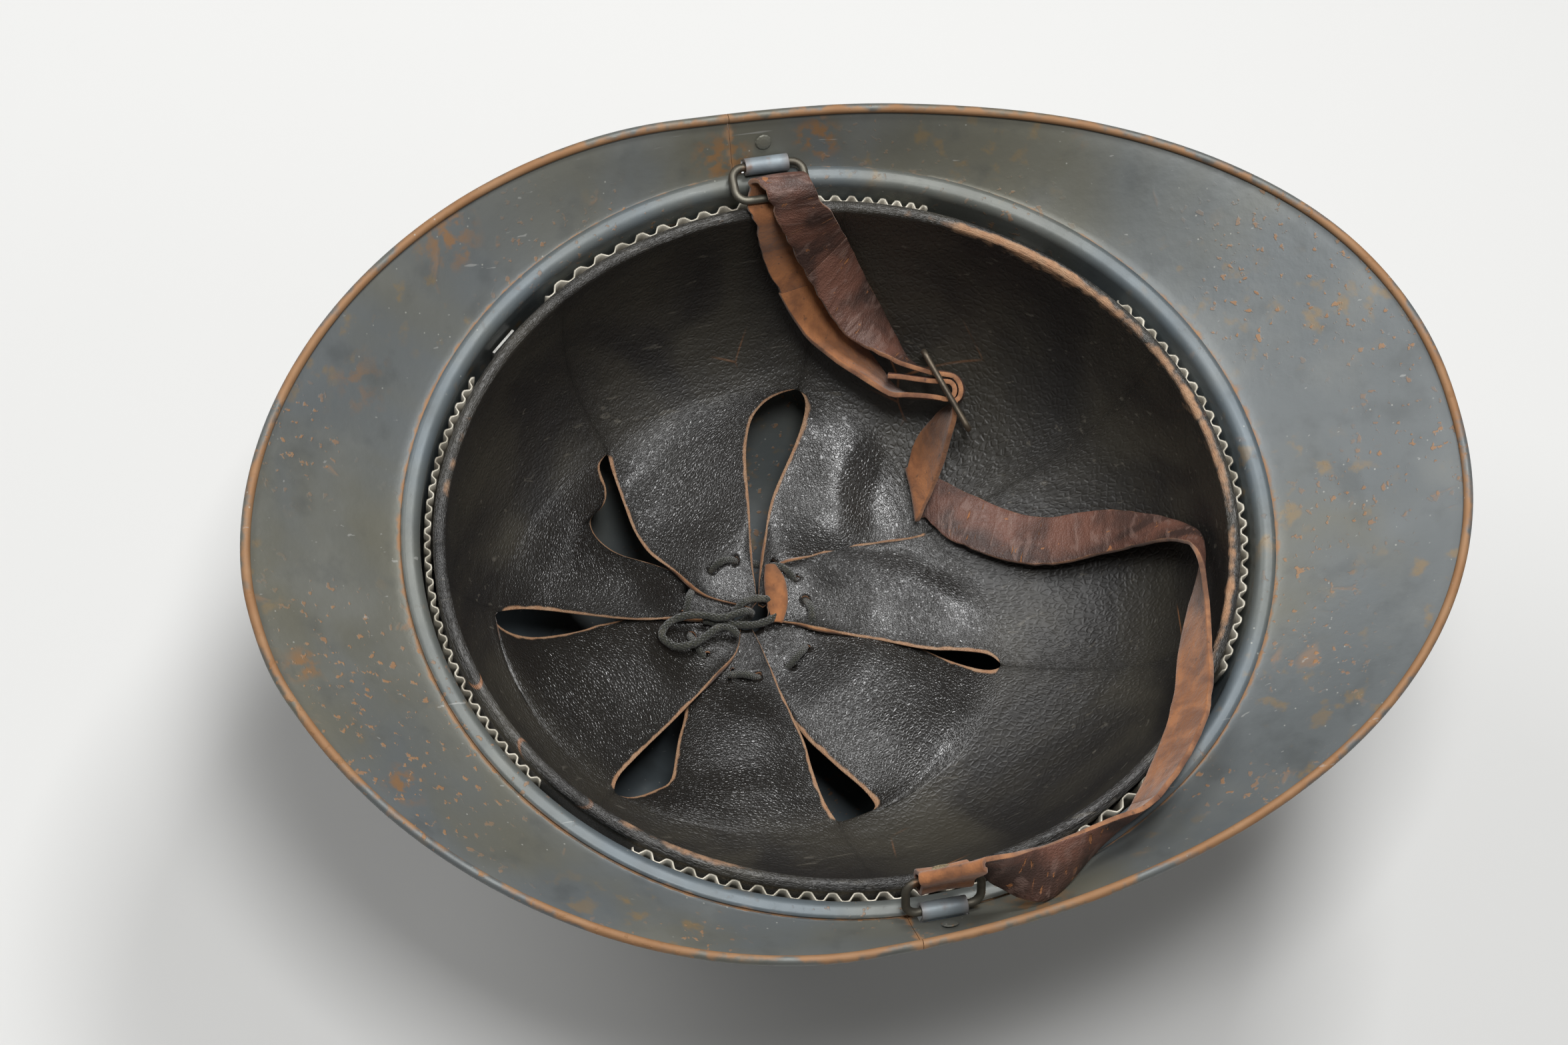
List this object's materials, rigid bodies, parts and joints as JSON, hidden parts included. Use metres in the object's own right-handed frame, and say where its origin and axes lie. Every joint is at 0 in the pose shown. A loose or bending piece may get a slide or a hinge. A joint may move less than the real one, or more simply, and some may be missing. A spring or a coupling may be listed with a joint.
{
  "type": "crested steel service helmet",
  "caption": "Crested pressed steel helmet, crown down, with front visor and neck guard, laced leather liner on corrugated spacer strips, hinged strap bails and a leather chin strap with slider.",
  "frame": {"origin": "under the middle of the brim's rim, level with the lowest point of the crest that the helmet lies on", "axes": "+Z out of the head opening, +X towards the neck guard, +Y towards the wearer's left"},
  "size_m": [0.3, 0.2196, 0.1559],
  "materials": {
    "shell_paint": "worn blue-grey paint, rust at edges and scratches",
    "brim_paint": "worn blue-grey paint with ochre rust specks and a worn rolled edge",
    "worn_steel": "thin pale blue-grey paint, smooth, worn at the folds",
    "rivet_paint": "flush painted head with a rusty outline",
    "bail_steel": "dull grey wire with rusty ends",
    "strip_aluminium": "dull cream-grey oxidised sheet",
    "tab_steel": "dull bare steel",
    "wool_felt": "dark matted wool",
    "liner_leather": "near-black, polished by wear, tan where cut or rubbed",
    "wool_cord": "dark olive woollen braid, matt",
    "strap_leather": "mauve-brown grain side, orange-tan suede side, cracked",
    "slider_steel": "dark bronze-brown wire, dull"
  },
  "bodies": {
    "helmet": {"shell": "shell_paint", "front_visor": "brim_paint", "rear_neck_guard": "brim_paint", "crest": "shell_paint", "crest_rivet_1": "shell_paint", "crest_rivet_2": "shell_paint", "crest_rivet_3": "shell_paint", "crest_rivet_4": "shell_paint", "left_bail_bracket": "worn_steel", "right_bail_bracket": "worn_steel", "left_bracket_rivet": "rivet_paint", "right_bracket_rivet": "rivet_paint", "spacer_strip_front": "strip_aluminium", "spacer_strip_rear": "strip_aluminium", "spacer_strip_left": "strip_aluminium", "spacer_strip_right": "strip_aluminium", "liner_tab_1": "tab_steel", "liner_tab_2": "tab_steel", "liner_tab_3": "tab_steel", "liner_tab_4": "tab_steel", "felt_band": "wool_felt", "liner": "liner_leather", "drawstring": "wool_cord", "chin_strap": "strap_leather"},
    "left_bail": {"left_bail": "bail_steel"},
    "right_bail": {"right_bail": "bail_steel"},
    "slider": {"strap_slider": "slider_steel"}
  },
  "joints": [
    {"name": "left_bail_hinge", "type": "hinge", "parent": "helmet", "child": "left_bail", "pos_m": [-0.0018, 0.0987, 0.1295], "axis": [-1, 0, 0], "range_deg": [0, 130], "deforming": ["chin_strap"]},
    {"name": "right_bail_hinge", "type": "hinge", "parent": "helmet", "child": "right_bail", "pos_m": [-0.0018, -0.0987, 0.1295], "axis": [1, 0, 0], "range_deg": [-60, 75], "deforming": ["chin_strap"]},
    {"name": "slider_slide", "type": "slide", "parent": "helmet", "child": "slider", "axis": [-0.9352, 0.3331, -0.12], "range_m": [0, 0.006], "deforming": ["chin_strap"]}
  ]
}
